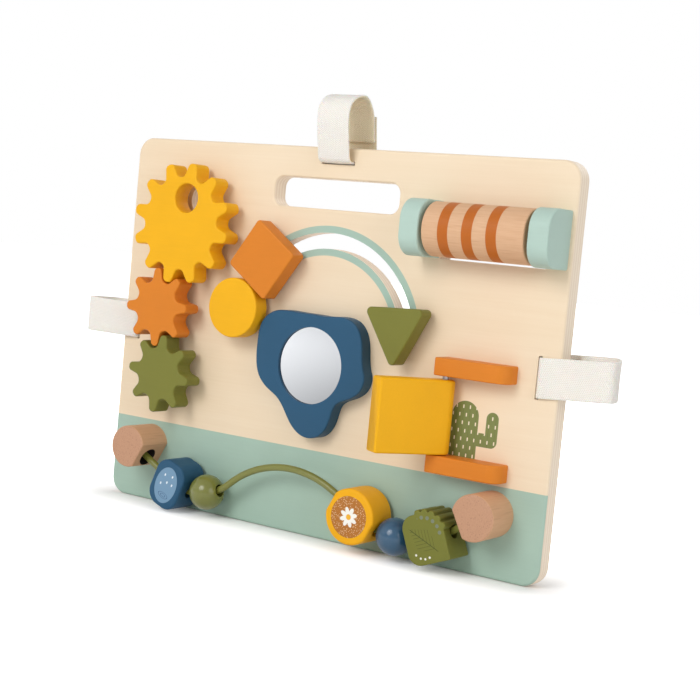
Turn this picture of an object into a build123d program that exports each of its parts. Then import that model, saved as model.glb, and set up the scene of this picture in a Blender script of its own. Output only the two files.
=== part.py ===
from build123d import *
import math
import os

os.makedirs("parts", exist_ok=True)

# Busy board for babies: a painted plywood board with gears, sliders, a mirror, a roller, a door
# and a bead wire on its front, and three webbing loops round its edges.
# Millimetres and degrees. X runs to the right, Y to the back, Z up; the origin is the centre of
# the board's bottom face. Angles on the board's face are counter-clockwise from +X, seen from
# the front.

# ------------------------------------------------------------------ driving dimensions
# plywood board
BOARD_W = 360.0
BOARD_H = 267.0
BOARD_T = 14.0
BOARD_CORNER_R = 12.5
BOARD_EDGE_R = 2.0
REAR_RECESS = 3.6          # depth of the counterbores and the groove that take the retainers

# hand slot
HAND_W = 102.5
HAND_H = 20.4
HAND_TOP_MARGIN = 21.6     # from the board's top edge to the slot
HAND_CORNER_R = 7.0
HAND_EDGE_R = 1.5

# running clearances
AXLE_CLEARANCE = 0.1       # radial, a dowel or steel rod in a drilled hole
RUN_GAP = 0.8              # between the board's face and the collars of what turns or slides on it
RETAINER_GAP = 0.3         # between a retainer and the floor of its recess

# gears
GEAR_T = 15.0
GEAR_STANDOFF = 5.2        # from the board's face to a gear's back
GEAR_EDGE_R = 1.2
LARGE_TEETH = 12
SMALL_TEETH = 8
LARGE_TIP_R = 43.6
LARGE_ROOT_R = 33.2
SMALL_TIP_R = 28.3
SMALL_ROOT_R = 19.2
LARGE_TIP_W, LARGE_ROOT_W = 6.8, 11.6
SMALL_TIP_W, SMALL_ROOT_W = 5.6, 9.4
TOOTH_ROUNDING = 0.85      # share of a tooth's nose and of a valley's floor that is round
LARGE_X = 62.1 - BOARD_W / 2          # the large gear's centre, from the board's left edge
LARGE_Z = BOARD_H / 2 + 72.5          # and from the board's middle
LARGE_TURN = 4.4           # rest angle of the valley at the top of the large gear, past upright
MIDDLE_DIRECTION = 255.7   # from the large gear's centre to the middle gear's
LOWER_DIRECTION = 278.4    # from the middle gear's centre to the lower gear's
LARGE_MESH_GAP = 0.7       # tip to root, large gear to middle gear
SMALL_MESH_GAP = 0.8       # tip to root, middle gear to lower gear
LOWER_SLACK = 2.8          # how far the lower gear has run on within its backlash
PEEP_R = 10.3
PEEP_RADIUS = 18.7         # from the large gear's centre
PEEP_DIRECTION = 77.2
PEEP_REAR_R = 11.4         # the matching hole through the board

# dowel axles, stems, retainers and their screws
AXLE_R = 4.5
DOWEL_DEPTH = 9.0          # how deep a dowel is glued into its gear or block
COLLAR_W = 3.5             # width of the collar that holds a gear or block off the board
GEAR_RETAINER_R = 7.4
RETAINER_T = 2.8
RETAINER_MARGIN = 0.8      # radial room round a retainer in its recess
STEM_R = 5.0

# arc slot and the three sliders in it
ARC_Z = BOARD_H - 131.7    # the arc's centre
ARC_R = 0.1901 * BOARD_W
ARC_SLOT_W = 10.9
ARC_END = 12.9             # angle of the slot's right end; the left end mirrors it
STOP_ANGLE = 0.4           # what an end slider keeps off the slot's end
SLIDER_T = 13.4
SLIDER_STANDOFF = 3.6      # from the board's face to a slider's back
SLIDER_EDGE_R = 1.2
SLIDER_RETAINER_R = 11.0
SQUARE_SIDE = 39.8
SQUARE_CORNER_R = 2.5
SLIDER_PITCH = 41.5        # from the disc's centre to the square's
SQUARE_TURN = -34.9        # how its edges are turned
DISC_R = 0.306 * ARC_R
TRIANGLE_SIDE = 46.8
TRIANGLE_CORNER_R = 3.2
TRIANGLE_TURN = 2.8

# mirror
FRAME_T = 11.0
FRAME_EDGE_R = 1.2
MIRROR_X = -0.6
MIRROR_BELOW_ARC = 17.0    # from the arc's centre down to the mirror's
MIRROR_OPENING_R = 0.383 * ARC_R
MIRROR_SEAT_R = MIRROR_OPENING_R + 2.8
MIRROR_LIP_T = 1.6
MIRROR_T = 2.0
# the frame's outline: its reach from the mirror's centre every 15 degrees, for a 100 mm arc
FRAME_REACH = [64.4, 62.8, 66.6, 67.2, 59.8, 52.3, 51.0, 52.9, 59.6, 70.0, 73.6, 69.6,
               66.9, 64.4, 57.7, 51.9, 54.5, 63.7, 71.5, 70.4, 58.6, 49.4, 55.4, 64.7]
FRAME_SCREWS = [(-51.0, 35.0), (46.0, 35.0), (4.0, -57.5)]   # from the same centre, for the same arc

# roller and its blocks
ROLLER_INSET = 55.4        # from the board's right edge to the roller's middle
ROLLER_DROP = 49.2         # from the board's top edge to the roller's axis
ROLLER_OUT = 13.5          # axis in front of the board's face
ROLLER_R = 17.6
ROLLER_L = 72.0
ROLLER_END_GAP = 2.6
ROLLER_EDGE_R = 1.0
ROLLER_ROD_R = 4.0
ROD_DEPTH = 10.0           # how deep the rod goes into each block
BLOCK_W = 14.0
BLOCK_H = 37.0
BLOCK_OUT = 31.0
BLOCK_NOSE_R = 14.0
BLOCK_EDGE_R = 1.2
BLOCK_SCREW_SPREAD = 25.0  # between a block's two screws
WINDOW_ABOVE = 16.6        # from the roller's axis to the upper edge of the board's window
WINDOW_BELOW = 18.9        # and to its lower edge
WINDOW_END_ROOM = 2.1      # between an end of the roller and the window's end

# door and its two bars
BAR_L = 52.2
BAR_X1 = BOARD_W / 2 - 29.0
BAR_SCREW_INSET = 12.0     # from either end of a bar to its nearer screw
BAR_OUT = 15.0
BAR_H = 11.6
BAR_NOSE_R = 9.0
BAR_EDGE_R = 1.0
LOWER_BAR_Z = 62.4
DOOR_H = 48.2
DOOR_OVERHANG = 2.3        # how far the closed door reaches past the bars' right ends
DOOR_T = 13.0
DOOR_EDGE_R = 1.6
DOOR_SILL_GAP = 0.5
DOOR_HEAD_GAP = 2.4
DOOR_FACE_GAP = 2.0        # between the closed door and the board
PIN_INSET = 5.8            # from the bar's left end to the pin
PIN_R = 2.0
PIN_DEPTH = 8.0            # how deep the pin goes into each bar
PIN_CLEARANCE = 0.25
DOOR_OPEN = 122.0          # how far the door stands open at rest

# pegs and bead wire
PEG_X, PEG_Z = 143.4, 41.5
PEG_R = 15.0
PEG_L = 27.0
PEG_EDGE_R = 1.0
PEG_FLAT = 11.7            # from the peg's axis to its flat
PEG_BORE_R = 7.0
PEG_BORE_DEPTH = 7.0
PEG_SCREW_OFFSET = 5.5     # screw behind the axis, clear of the bore
WIRE_R = 2.4
WIRE_OUT = 14.5            # wire's plane in front of the board's face
WIRE_SEAT = 4.0            # how deep the wire's end is seated below the bore
WIRE_SLOPE = 28.0          # slope of the wire where it enters a peg
VALLEY_X = 88.5
VALLEY_Z = 16.0
VALLEY_OUTER_R = 46.0
ARCH_X, ARCH_Z = -5.5, 46.8
ARCH_R = 78.0

# beads
BEAD_T = 24.0
BEAD_EDGE_R = 1.8
BEAD_HOLE_R = 4.4
BALL_R = 12.5
PEBBLE_W, PEBBLE_H, PEBBLE_CORNER_R = 27.0, 35.0, 10.5
FLOWER_R = 18.7
FLOWER_FLAT = 17.4         # the round bead's flats, from its centre
LEAF_W, LEAF_H, LEAF_CORNER_R = 30.0, 33.0, 9.0
LEAF_FOOT_R = 1.4          # the leaf bead's one tight corner, at its lower right
LEAF_EDGE_R = 0.8
LEAF_SCALLOPS = 5          # in a row on its round upper right shoulder
LEAF_SCALLOP_FIRST, LEAF_SCALLOP_STEP = 15.0, 20.0   # angles of the first and to the next
LEAF_SCALLOP_H = 2.2
LEAF_SCALLOP_NOSE = 9.0    # angle that a scallop's nose takes up
LEAF_NOSE_R, LEAF_DIP_R = 1.5, 0.8
PEBBLE_ANGLE = -20.6       # each bead's place on its arc, from the arc's lowest point
GREEN_BALL_ANGLE = 14.7
FLOWER_ANGLE = -26.7
BLUE_BALL_ANGLE = -4.6
LEAF_RUN = 1.4             # the leaf bead's place on the straight run, from the arc's end
LEAF_SAG = 0.6             # how far it hangs off the wire's line to clear the bend behind it
LEAF_DROOP = 6.0           # how much flatter than the wire it hangs

# webbing loops
STRAP_W = 25.4
STRAP_T = 1.6
STRAP_TAIL_BEND_R = 6.5
STRAP_SLOT_LENGTH_ROOM = 2.0
STRAP_SLOT_H = 2.6
TOP_SLOT_INSET = 10.2      # from the board's edge to the slot's centre line
SIDE_SLOT_INSET = 14.5
SIDE_STRAP_Z = BOARD_H / 2 - 2.0
TOP_REACH = 44.0           # from the slot to the far end of the loop
SIDE_REACH = 45.5
TOP_BULGE = 9.0            # how far the loop's far end stands in front of the board's face
SIDE_BULGE = -3.0
TOP_BEND_R = 15.0
SIDE_BEND_R = 10.0
FLAP_Y = 16.5
FLAP_END = 16.5            # from the slot to the end of the inner flap
PATCH_T = 0.7
PATCH_L = 16.0
PATCH_W = 22.0

# wood screws
SCREW_R = 1.9
SCREW_HEAD_R = 4.0
SCREW_HEAD_H = 2.2
SCREW_TIP_H = 3.0
SHORT_SCREW_L = 22.0
LONG_SCREW_L = 35.0
RETAINER_SCREW_L = 15.0

# ------------------------------------------------------------------ derived places
FRONT = -BOARD_T / 2
BACK = BOARD_T / 2
GEAR_BACK = FRONT - GEAR_STANDOFF
SLIDER_BACK = FRONT - SLIDER_STANDOFF
RECESS_FLOOR = BACK - REAR_RECESS
RETAINER_FRONT = RECESS_FLOOR + RETAINER_GAP
MIDDLE_DISTANCE = LARGE_TIP_R + SMALL_ROOT_R + LARGE_MESH_GAP
LOWER_DISTANCE = SMALL_TIP_R + SMALL_ROOT_R + SMALL_MESH_GAP
MIRROR_Z = ARC_Z - MIRROR_BELOW_ARC
BAR_X0 = BAR_X1 - BAR_L
PIN_X = BAR_X0 + PIN_INSET
UPPER_BAR_Z = LOWER_BAR_Z + BAR_H + DOOR_SILL_GAP + DOOR_H + DOOR_HEAD_GAP
DOOR_Z = LOWER_BAR_Z + BAR_H + DOOR_SILL_GAP
PIN_Y = FRONT - DOOR_FACE_GAP - DOOR_T / 2
DOOR_L = BAR_X1 - PIN_X + DOOR_OVERHANG
WIRE_Y = FRONT - WIRE_OUT
ROLLER_X = BOARD_W / 2 - ROLLER_INSET
ROLLER_Y = FRONT - ROLLER_OUT
ROLLER_Z = BOARD_H - ROLLER_DROP
BLOCK_X = ROLLER_L / 2 + ROLLER_END_GAP + BLOCK_W / 2   # block centre from the roller's middle


# ------------------------------------------------------------------ helpers
def face_plane(y):
    """A drawing plane parallel to the board's face, with X to the right and Z up."""
    return Plane(origin=(0, y, 0), x_dir=(1, 0, 0), z_dir=(0, -1, 0))


def slab(sketch, y_back, thickness):
    """A sketch of the front view, made solid from y_back towards the front."""
    return extrude(face_plane(y_back) * sketch, thickness)


def polar(radius, angle, x=0.0, z=0.0):
    """A point of the front view, at an angle and distance from (x, z)."""
    return (x + radius * math.cos(math.radians(angle)), z + radius * math.sin(math.radians(angle)))


def rounded(solid, radius, *levels):
    """The solid with every edge that lies at one of the given depths rounded."""
    edges = [e for e in solid.edges()
             if any(abs(e.bounding_box().min.Y - y) + abs(e.bounding_box().max.Y - y) < 0.01 for y in levels)]
    return fillet(edges, radius)


def rod(start, end, radius):
    """A round rod between two points."""
    run = Vector(*end) - Vector(*start)
    plane = Plane(origin=start, z_dir=run.normalized())
    return extrude(plane * Circle(radius), run.length)


def wood_screw(x, z, y_head, length):
    """A countersunk wood screw driven from the back, its head's top at y_head."""
    shank = length - SCREW_TIP_H
    profile = Polyline(
        (0, 0), (SCREW_HEAD_R, 0), (SCREW_R, SCREW_HEAD_H), (SCREW_R, shank), (0, length), (0, 0))
    screw = revolve(make_face(Plane.XZ * profile), Axis.Z)
    return Pos(x, y_head, z) * Rot(90, 0, 0) * screw


def write(name, *solids):
    """One STEP file for one node."""
    shape = solids[0] if len(solids) == 1 else Compound(children=list(solids))
    export_step(shape, f"parts/{name}.step")


# ------------------------------------------------------------------ gears
def gear_outline(teeth, tip_r, root_r, tip_w, root_w, tooth_angle):
    """Round-nosed teeth and round valleys; tooth_angle is where one tooth points."""
    tip_half = math.degrees(math.asin(tip_w / 2 / tip_r))
    root_half = math.degrees(math.asin(root_w / 2 / root_r))
    taper = math.degrees(math.atan((root_w - tip_w) / 2 / (tip_r - root_r)))
    half_valley = root_r * math.sin(math.radians(180 / teeth - root_half))
    root_turn = 90 - 180 / teeth - taper
    tip_round = TOOTH_ROUNDING * tip_w / 2 / math.tan(math.radians(90 - taper) / 2)
    root_round = TOOTH_ROUNDING * half_valley / math.tan(math.radians(root_turn) / 2)
    points = []
    for k in range(teeth):
        angle = tooth_angle + 360 / teeth * k
        points += [polar(root_r, angle - root_half), polar(tip_r, angle - tip_half),
                   polar(tip_r, angle + tip_half), polar(root_r, angle + root_half)]
    radii = [root_round, tip_round, tip_round, root_round] * teeth
    return make_face(FilletPolyline(*points, radius=radii, close=True))


def meshing_tooth(driver_tooth, driver_teeth, driven_teeth, direction):
    """The tooth angle of a gear that meshes with its driver, seen along the line of centres."""
    pitch = 360 / driver_teeth
    offset = (driver_tooth - direction + pitch / 2) % pitch - pitch / 2
    valley = direction - 180 - offset * driver_teeth / driven_teeth
    return valley + 180 / driven_teeth


def gear_layout():
    """Name, centre, tooth angle and form of the three gears."""
    large = (LARGE_X, LARGE_Z)
    middle = polar(MIDDLE_DISTANCE, MIDDLE_DIRECTION, *large)
    lower = polar(LOWER_DISTANCE, LOWER_DIRECTION, *middle)
    large_tooth = 90 + LARGE_TURN - 180 / LARGE_TEETH
    middle_tooth = meshing_tooth(large_tooth, LARGE_TEETH, SMALL_TEETH, MIDDLE_DIRECTION)
    lower_tooth = meshing_tooth(middle_tooth, SMALL_TEETH, SMALL_TEETH, LOWER_DIRECTION) + LOWER_SLACK
    large_form = (LARGE_TEETH, LARGE_TIP_R, LARGE_ROOT_R, LARGE_TIP_W, LARGE_ROOT_W)
    small_form = (SMALL_TEETH, SMALL_TIP_R, SMALL_ROOT_R, SMALL_TIP_W, SMALL_ROOT_W)
    return [("large_gear", large, large_tooth, large_form),
            ("middle_gear", middle, middle_tooth, small_form),
            ("lower_gear", lower, lower_tooth, small_form)]


def peep_centre():
    return polar(PEEP_RADIUS, PEEP_DIRECTION, LARGE_X, LARGE_Z)


def retained_dowel(name, x, z, y_back, radius, retainer_r):
    """The collared dowel behind a gear or slider, its retainer in the rear recess and the screw.

    y_back is the back of the gear or slider, which the collar holds off the board.
    """
    dowel = slab(Pos(x, z) * Circle(radius), RETAINER_FRONT, RETAINER_FRONT - y_back + DOWEL_DEPTH)
    collar_back = FRONT - RUN_GAP
    dowel += slab(Pos(x, z) * Circle(radius + COLLAR_W), collar_back, collar_back - y_back)
    retainer = slab(Pos(x, z) * Circle(retainer_r), RETAINER_FRONT + RETAINER_T, RETAINER_T)
    screw = wood_screw(x, z, RETAINER_FRONT + RETAINER_T, RETAINER_SCREW_L)
    write(f"{name}_dowel", dowel - screw)
    write(f"{name}_retainer", retainer - screw)
    write(f"{name}_screw", screw)
    return dowel


def make_gears():
    for name, (x, z), tooth, form in gear_layout():
        wheel = slab(Pos(x, z) * gear_outline(*form, tooth), GEAR_BACK, GEAR_T)
        wheel = rounded(wheel, GEAR_EDGE_R, GEAR_BACK, GEAR_BACK - GEAR_T)
        if name == "large_gear":
            hole = slab(Pos(*peep_centre()) * Circle(PEEP_R), GEAR_BACK, GEAR_T)
            wheel = wheel - hole
            rims = wheel.edges().filter_by(GeomType.CIRCLE).filter_by(
                lambda e: abs(e.radius - PEEP_R) < 0.001)
            wheel = fillet(rims, GEAR_EDGE_R)
        dowel = retained_dowel(name, x, z, GEAR_BACK, AXLE_R, GEAR_RETAINER_R)
        write(name, wheel - dowel)


# ------------------------------------------------------------------ sliders
def slider_layout():
    """Name, angle on the arc and front outline of the three sliders."""
    right_stop = ARC_END + STOP_ANGLE
    disc_angle = 180 - right_stop
    square_angle = disc_angle - 2 * math.degrees(math.asin(SLIDER_PITCH / 2 / ARC_R))
    square = Rot(0, 0, SQUARE_TURN) * RectangleRounded(SQUARE_SIDE, SQUARE_SIDE, SQUARE_CORNER_R)
    reach = TRIANGLE_SIDE / math.sqrt(3)
    corners = [polar(reach, TRIANGLE_TURN + a) for a in (30, 150, 270)]
    triangle = make_face(FilletPolyline(*corners, radius=TRIANGLE_CORNER_R, close=True))
    return [("square_slider", square_angle, square),
            ("disc_slider", disc_angle, Circle(DISC_R)),
            ("triangle_slider", right_stop, triangle)]


def make_sliders():
    for name, angle, outline in slider_layout():
        x, z = polar(ARC_R, angle, 0, ARC_Z)
        block = slab(Pos(x, z) * outline, SLIDER_BACK, SLIDER_T)
        block = rounded(block, SLIDER_EDGE_R, SLIDER_BACK, SLIDER_BACK - SLIDER_T)
        stem = retained_dowel(name, x, z, SLIDER_BACK, STEM_R, SLIDER_RETAINER_R)
        write(name, block - stem)


# ------------------------------------------------------------------ mirror
def frame_point(x, z):
    """A point of the frame, given for a 100 mm arc, in its place on the board."""
    return (MIRROR_X + x * ARC_R / 100, MIRROR_Z + z * ARC_R / 100)


def frame_screws():
    return [wood_screw(*frame_point(x, z), BACK, SHORT_SCREW_L) for x, z in FRAME_SCREWS]


def make_mirror():
    step = 360 / len(FRAME_REACH)
    points = [frame_point(*polar(reach, k * step)) for k, reach in enumerate(FRAME_REACH)]
    outline = make_face(Spline(*points, periodic=True))
    centre = Pos(MIRROR_X, MIRROR_Z)
    seat_depth = FRAME_T - MIRROR_LIP_T
    ring = rounded(slab(outline, FRONT, FRAME_T), FRAME_EDGE_R, FRONT - FRAME_T)
    ring -= slab(centre * Circle(MIRROR_OPENING_R), FRONT, FRAME_T)
    ring -= slab(centre * Circle(MIRROR_SEAT_R), FRONT, seat_depth)
    for screw in frame_screws():
        ring -= screw
    write("mirror_frame", ring)
    glass_back = FRONT - seat_depth + MIRROR_T
    write("mirror_disc", slab(centre * Circle(MIRROR_SEAT_R), glass_back, MIRROR_T))
    write("mirror_backing", slab(centre * Circle(MIRROR_SEAT_R), FRONT, seat_depth - MIRROR_T))


# ------------------------------------------------------------------ roller
def block_centres():
    return [("roller_block_left", ROLLER_X - BLOCK_X), ("roller_block_right", ROLLER_X + BLOCK_X)]


def block_screws():
    half = BLOCK_SCREW_SPREAD / 2
    return [wood_screw(x, ROLLER_Z + dz, BACK, LONG_SCREW_L)
            for _, x in block_centres() for dz in (half, -half)]


def make_roller():
    axis = (0, ROLLER_Y, ROLLER_Z)
    half_rod = ROLLER_L / 2 + ROLLER_END_GAP + ROD_DEPTH
    axle = rod((ROLLER_X - half_rod, *axis[1:]), (ROLLER_X + half_rod, *axis[1:]), ROLLER_ROD_R)
    left = (ROLLER_X - ROLLER_L / 2, *axis[1:])
    right = (ROLLER_X + ROLLER_L / 2, *axis[1:])
    drum = fillet(rod(left, right, ROLLER_R).edges().filter_by(GeomType.CIRCLE), ROLLER_EDGE_R)
    drum -= rod(left, right, ROLLER_ROD_R + AXLE_CLEARANCE)
    write("roller", drum)
    write("roller_axle", axle)
    side = Plane(origin=(0, 0, 0), x_dir=(0, 1, 0), z_dir=(1, 0, 0))
    for name, x in block_centres():
        nose = FRONT - BLOCK_OUT
        points = [(FRONT, ROLLER_Z - BLOCK_H / 2), (FRONT, ROLLER_Z + BLOCK_H / 2),
                  (nose, ROLLER_Z + BLOCK_H / 2), (nose, ROLLER_Z - BLOCK_H / 2)]
        profile = make_face(FilletPolyline(*points, radius=[0, 0, BLOCK_NOSE_R, BLOCK_NOSE_R], close=True))
        block = Pos(x - BLOCK_W / 2, 0, 0) * extrude(side * profile, BLOCK_W)
        rims = [e for e in block.edges() if abs(e.center().X - x) > BLOCK_W / 2 - 0.01
                and e.center().Y < FRONT - 0.01]
        block = fillet(rims, BLOCK_EDGE_R) - axle
        for screw in block_screws():
            block -= screw
        write(name, block)


# ------------------------------------------------------------------ door
def bar_screws():
    xs = (BAR_X0 + PIN_INSET + BAR_SCREW_INSET, BAR_X1 - BAR_SCREW_INSET)
    return [wood_screw(x, z + BAR_H / 2, BACK, SHORT_SCREW_L)
            for z in (LOWER_BAR_Z, UPPER_BAR_Z) for x in xs]


def make_door():
    foot = LOWER_BAR_Z + BAR_H - PIN_DEPTH
    head = UPPER_BAR_Z + PIN_DEPTH
    pin = rod((PIN_X, PIN_Y, foot), (PIN_X, PIN_Y, head), PIN_R)
    write("door_pin", pin)
    for name, z in (("door_bar_lower", LOWER_BAR_Z), ("door_bar_upper", UPPER_BAR_Z)):
        bar = Pos(BAR_X0 + BAR_L / 2, FRONT - BAR_OUT / 2, z + BAR_H / 2) * Box(BAR_L, BAR_OUT, BAR_H)
        nose = bar.edges().filter_by(Axis.Z).group_by(Axis.Y)[0].sort_by(Axis.X)[-1]
        bar = fillet(nose, BAR_NOSE_R)
        rims = [e for e in bar.edges() if e.center().Y < FRONT - 0.01]
        bar = fillet(rims, BAR_EDGE_R) - pin
        for screw in bar_screws():
            bar -= screw
        write(name, bar)
    # drawn closed along +X from the pin, then swung open about the pin
    leaf = Pos(DOOR_L / 2, 0, DOOR_H / 2) * Box(DOOR_L, DOOR_T, DOOR_H)
    leaf += Pos(0, 0, DOOR_H / 2) * Cylinder(DOOR_T / 2, DOOR_H)
    rims = [e for e in leaf.edges() if e.center().X > 0.01 or e.geom_type == GeomType.CIRCLE]
    leaf = fillet(rims, DOOR_EDGE_R)
    leaf -= Pos(0, 0, DOOR_H / 2) * Cylinder(PIN_R + PIN_CLEARANCE, DOOR_H)
    write("door", Pos(PIN_X, PIN_Y, DOOR_Z) * Rot(0, 0, -DOOR_OPEN) * leaf)


# ------------------------------------------------------------------ pegs and wire
def peg_flat_direction(side):
    """Which way a peg's flat faces: down and towards the board's middle."""
    return -WIRE_SLOPE if side < 0 else 180 + WIRE_SLOPE


def peg_screws():
    screws = []
    for side in (-1, 1):
        x, z = polar(-PEG_SCREW_OFFSET, peg_flat_direction(side), side * PEG_X, PEG_Z)
        screws.append(wood_screw(x, z, BACK, LONG_SCREW_L))
    return screws


def valley_inner_radius(side):
    """Radius that carries the wire from a valley's lowest point smoothly into the arch."""
    run = abs(side * VALLEY_X - ARCH_X)
    rise = ARCH_Z - VALLEY_Z
    turn = 2 * math.atan(rise / run)
    return run / math.sin(turn) - ARCH_R, math.degrees(turn)


def wire_end(side):
    """Start of the straight run on the arc's side, and its end inside the peg."""
    x, z = polar(VALLEY_OUTER_R, -90 + side * WIRE_SLOPE, side * VALLEY_X, VALLEY_Z + VALLEY_OUTER_R)
    facing = peg_flat_direction(side)
    flat_x, flat_z = polar(PEG_FLAT, facing, side * PEG_X, PEG_Z)
    to_flat = (x - flat_x) * math.cos(math.radians(facing)) + (z - flat_z) * math.sin(math.radians(facing))
    run = to_flat + PEG_BORE_DEPTH + WIRE_SEAT
    return (x, z), polar(-run, facing, x, z)


def wire_path():
    """Straight out of the left peg, valley, arch, valley, straight into the right peg."""
    edges = []
    for side in (-1, 1):
        inner_r, turn = valley_inner_radius(side)
        low = (side * VALLEY_X, VALLEY_Z)
        arc_start, peg_end = wire_end(side)
        edges.append(Line(arc_start, peg_end))
        edges.append(CenterArc((low[0], low[1] + VALLEY_OUTER_R), VALLEY_OUTER_R, -90, side * WIRE_SLOPE))
        edges.append(CenterArc((low[0], low[1] + inner_r), inner_r, -90, -side * turn))
        edges.append(CenterArc((ARCH_X, ARCH_Z - ARCH_R), ARCH_R, 90, -side * turn))
    return Wire([face_plane(WIRE_Y) * edge for edge in edges])


def make_wire():
    path = wire_path()
    section = Plane(origin=path @ 0, z_dir=path % 0) * Circle(WIRE_R)
    wire = sweep(section, path)
    write("bead_wire", wire)
    for side, name in ((-1, "peg_left"), (1, "peg_right")):
        peg = slab(Pos(side * PEG_X, PEG_Z) * Circle(PEG_R), FRONT, PEG_L)
        facing = peg_flat_direction(side)
        cut = Pos(*polar(PEG_FLAT + PEG_R, facing, side * PEG_X, PEG_Z)) * Rot(0, 0, facing)
        peg -= slab(cut * Rectangle(2 * PEG_R, 2 * PEG_R), FRONT, PEG_L)
        peg = rounded(peg, PEG_EDGE_R, FRONT - PEG_L)
        _, peg_end = wire_end(side)
        bore_floor = polar(WIRE_SEAT, facing, *peg_end)
        mouth = polar(PEG_BORE_DEPTH + PEG_R, facing, *bore_floor)
        peg -= rod((bore_floor[0], WIRE_Y, bore_floor[1]), (mouth[0], WIRE_Y, mouth[1]), PEG_BORE_R)
        peg -= rod((peg_end[0], WIRE_Y, peg_end[1]), (mouth[0], WIRE_Y, mouth[1]), WIRE_R)
        for screw in peg_screws():
            peg -= screw
        write(name, peg)


# ------------------------------------------------------------------ beads
def pebble_outline():
    return RectangleRounded(PEBBLE_W, PEBBLE_H, PEBBLE_CORNER_R)


def flower_outline():
    return Circle(FLOWER_R) & Rectangle(2 * FLOWER_FLAT, 2 * FLOWER_R)


def leaf_outline():
    """A block with a round upper right shoulder that carries a row of small scallops."""
    half_w, half_h = LEAF_W / 2, LEAF_H / 2
    shoulder = (0, half_h - half_w)
    points = [(-half_w, half_h), (-half_w, -half_h), (half_w, -half_h)]
    radii = [LEAF_CORNER_R, LEAF_CORNER_R, LEAF_FOOT_R]
    for k in range(LEAF_SCALLOPS):
        angle = LEAF_SCALLOP_FIRST + k * LEAF_SCALLOP_STEP
        points.append(polar(half_w, angle - LEAF_SCALLOP_STEP / 2, *shoulder))
        for side in (-1, 1):
            nose = angle + side * LEAF_SCALLOP_NOSE / 2
            points.append(polar(half_w + LEAF_SCALLOP_H, nose, *shoulder))
        radii += [LEAF_DIP_R, LEAF_NOSE_R, LEAF_NOSE_R]
    points.append(polar(half_w, angle + LEAF_SCALLOP_STEP / 2, *shoulder))
    radii.append(LEAF_DIP_R)
    return make_face(FilletPolyline(*points, radius=radii, close=True))


def on_arc(side, arc_r, angle, length):
    """Centre and turn of a bead on a valley arc, hung so that the bend clears both its ends."""
    sag = length ** 2 / (8 * arc_r)
    return polar(arc_r - sag / 2, -90 + angle, side * VALLEY_X, VALLEY_Z + arc_r), angle


def on_right_run():
    """Centre and turn of a bead on the straight run up to the right peg."""
    start, _ = wire_end(1)
    return polar(LEAF_SAG, 90 + WIRE_SLOPE, *polar(LEAF_RUN, WIRE_SLOPE, *start)), WIRE_SLOPE - LEAF_DROOP


def bead_layout():
    """Name, centre and turn, outline (None for a ball) and length along the wire."""
    left_r, _ = valley_inner_radius(-1)
    right_r, _ = valley_inner_radius(1)
    ball = 2 * BALL_R
    return [
        ("pebble_bead", on_arc(-1, VALLEY_OUTER_R, PEBBLE_ANGLE, PEBBLE_W), pebble_outline(), PEBBLE_W),
        ("green_ball", on_arc(-1, left_r, GREEN_BALL_ANGLE, ball), None, ball),
        ("flower_bead", on_arc(1, right_r, FLOWER_ANGLE, 2 * FLOWER_FLAT), flower_outline(), 2 * FLOWER_FLAT),
        ("blue_ball", on_arc(1, right_r, BLUE_BALL_ANGLE, ball), None, ball),
        ("leaf_bead", on_right_run(), leaf_outline(), LEAF_W),
    ]


def make_beads():
    for name, ((x, z), turn), outline, length in bead_layout():
        if outline is None:
            bead = Pos(x, WIRE_Y, z) * Sphere(BALL_R)
        else:
            bead = slab(Pos(x, z) * Rot(0, 0, turn) * outline, WIRE_Y + BEAD_T / 2, BEAD_T)
            edge_r = LEAF_EDGE_R if name == "leaf_bead" else BEAD_EDGE_R
            bead = rounded(bead, edge_r, WIRE_Y + BEAD_T / 2, WIRE_Y - BEAD_T / 2)
        ends = [polar(reach, turn, x, z) for reach in (-length, length)]
        bead -= rod((ends[0][0], WIRE_Y, ends[0][1]), (ends[1][0], WIRE_Y, ends[1][1]), BEAD_HOLE_R)
        write(name, bead)


# ------------------------------------------------------------------ straps
def ribbon(points, radii, thickness):
    """The edge view of a flat strip that follows a route with rounded corners."""
    sides = []
    for sign in (1, -1):
        offset_points = []
        offset_radii = []
        for i, point in enumerate(points):
            here = Vector(*point)
            before = (here - Vector(*points[i - 1])).normalized() if i else None
            after = (Vector(*points[i + 1]) - here).normalized() if i + 1 < len(points) else None
            normals = [Vector(-d.Y, d.X) for d in (before, after) if d is not None]
            mean = sum(normals[1:], normals[0]).normalized()
            offset_points.append(here + mean * (sign * thickness / 2 / mean.dot(normals[0])))
            if before is not None and after is not None:
                turn = math.copysign(1, before.X * after.Y - before.Y * after.X)
                offset_radii.append(radii[i - 1] - sign * turn * thickness / 2)
        sides.append((offset_points, offset_radii))
    (left, left_radii), (right, right_radii) = sides
    edges = [FilletPolyline(*left, radius=left_radii), FilletPolyline(*right, radius=right_radii),
             Line(left[0], right[0]), Line(left[-1], right[-1])]
    return make_face(Wire([e for item in edges for e in item.edges()]))


def strap_layout():
    """Name, edge-view plane, reach, front bulge and bend of each loop.

    The edge view has Y across and the way out past the board's edge upwards.
    """
    top = Plane(origin=(0, 0, BOARD_H - TOP_SLOT_INSET), x_dir=(0, 1, 0), z_dir=(1, 0, 0))
    slot_x = BOARD_W / 2 - SIDE_SLOT_INSET
    right = Plane(origin=(slot_x, 0, SIDE_STRAP_Z), x_dir=(0, 1, 0), z_dir=(0, 0, -1))
    left = Plane(origin=(-slot_x, 0, SIDE_STRAP_Z), x_dir=(0, 1, 0), z_dir=(0, 0, 1))
    return [("strap_top", top, TOP_REACH, TOP_BULGE, TOP_BEND_R),
            ("strap_right", right, SIDE_REACH, SIDE_BULGE, SIDE_BEND_R),
            ("strap_left", left, SIDE_REACH, SIDE_BULGE, SIDE_BEND_R)]


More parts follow.
